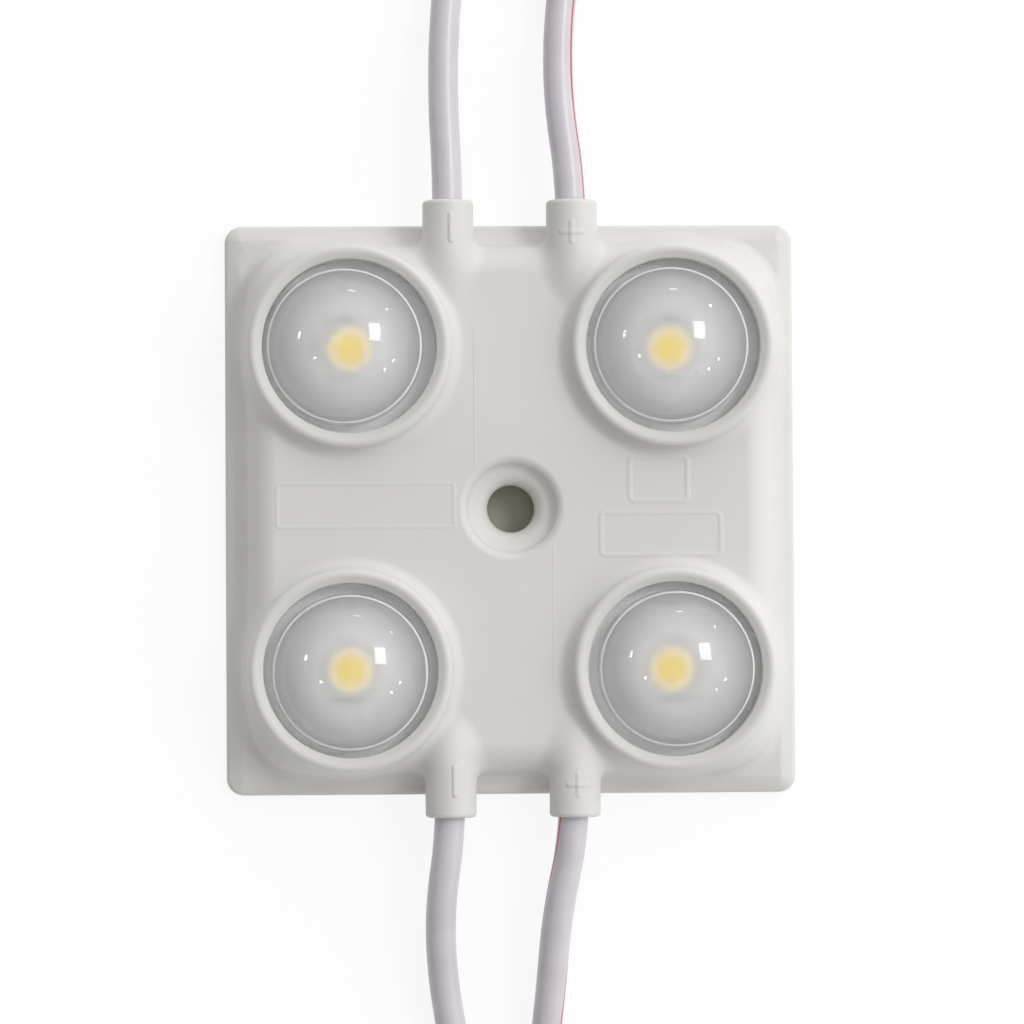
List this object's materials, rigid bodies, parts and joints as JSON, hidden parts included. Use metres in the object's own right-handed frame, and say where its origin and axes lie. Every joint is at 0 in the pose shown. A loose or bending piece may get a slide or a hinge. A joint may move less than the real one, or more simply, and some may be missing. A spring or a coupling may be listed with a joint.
{
  "type": "led module",
  "caption": "Square white moulded light module with clear domed lenses in raised collars, a recessed central screw hole and bare-ended leads at both ends.",
  "frame": {"origin": "middle of the flat back face of the body", "axes": "+Z out of the lit face, along the screw hole; +Y along the leads; +X across them, so that with +Y up the striped positive leads are on the right"},
  "size_m": [0.036, 0.1445, 0.0069],
  "materials": {
    "body_plastic": "moulded white plastic, satin",
    "board": "aluminium-core board, white lacquer on the lit side, bare brushed back",
    "clear_lens": "clear moulded plastic, slightly milky",
    "led_plastic": "white moulded plastic",
    "phosphor": "yellow filled silicone",
    "plated_metal": "bright plated metal",
    "resistor": "dark glaze on ceramic, with plated ends",
    "black_epoxy": "black moulded epoxy",
    "solder": "bright solder",
    "lead_plastic": "white flexible plastic with a lavender tint",
    "striped_lead_plastic": "white flexible plastic with a thin red stripe",
    "tinned_copper": "tinned copper strands"
  },
  "bodies": {
    "root": {"housing": "body_plastic", "circuit_board": "board", "lens_1": "clear_lens", "lens_2": "clear_lens", "lens_3": "clear_lens", "lens_4": "clear_lens", "led_package_1": "led_plastic", "led_package_2": "led_plastic", "led_package_3": "led_plastic", "led_package_4": "led_plastic", "led_phosphor_1": "phosphor", "led_phosphor_2": "phosphor", "led_phosphor_3": "phosphor", "led_phosphor_4": "phosphor", "led_terminals_1": "plated_metal", "led_terminals_2": "plated_metal", "led_terminals_3": "plated_metal", "led_terminals_4": "plated_metal", "resistor_1": "resistor", "resistor_2": "resistor", "resistor_3": "resistor", "resistor_4": "resistor", "polarity_diode": "black_epoxy", "solder_joint_1": "solder", "solder_joint_2": "solder", "solder_joint_3": "solder", "solder_joint_4": "solder", "lead_jacket_1": "lead_plastic", "lead_jacket_3": "lead_plastic", "lead_jacket_2": "striped_lead_plastic", "lead_jacket_4": "striped_lead_plastic", "conductor_1": "tinned_copper", "conductor_2": "tinned_copper", "conductor_3": "tinned_copper", "conductor_4": "tinned_copper"}
  },
  "joints": []
}
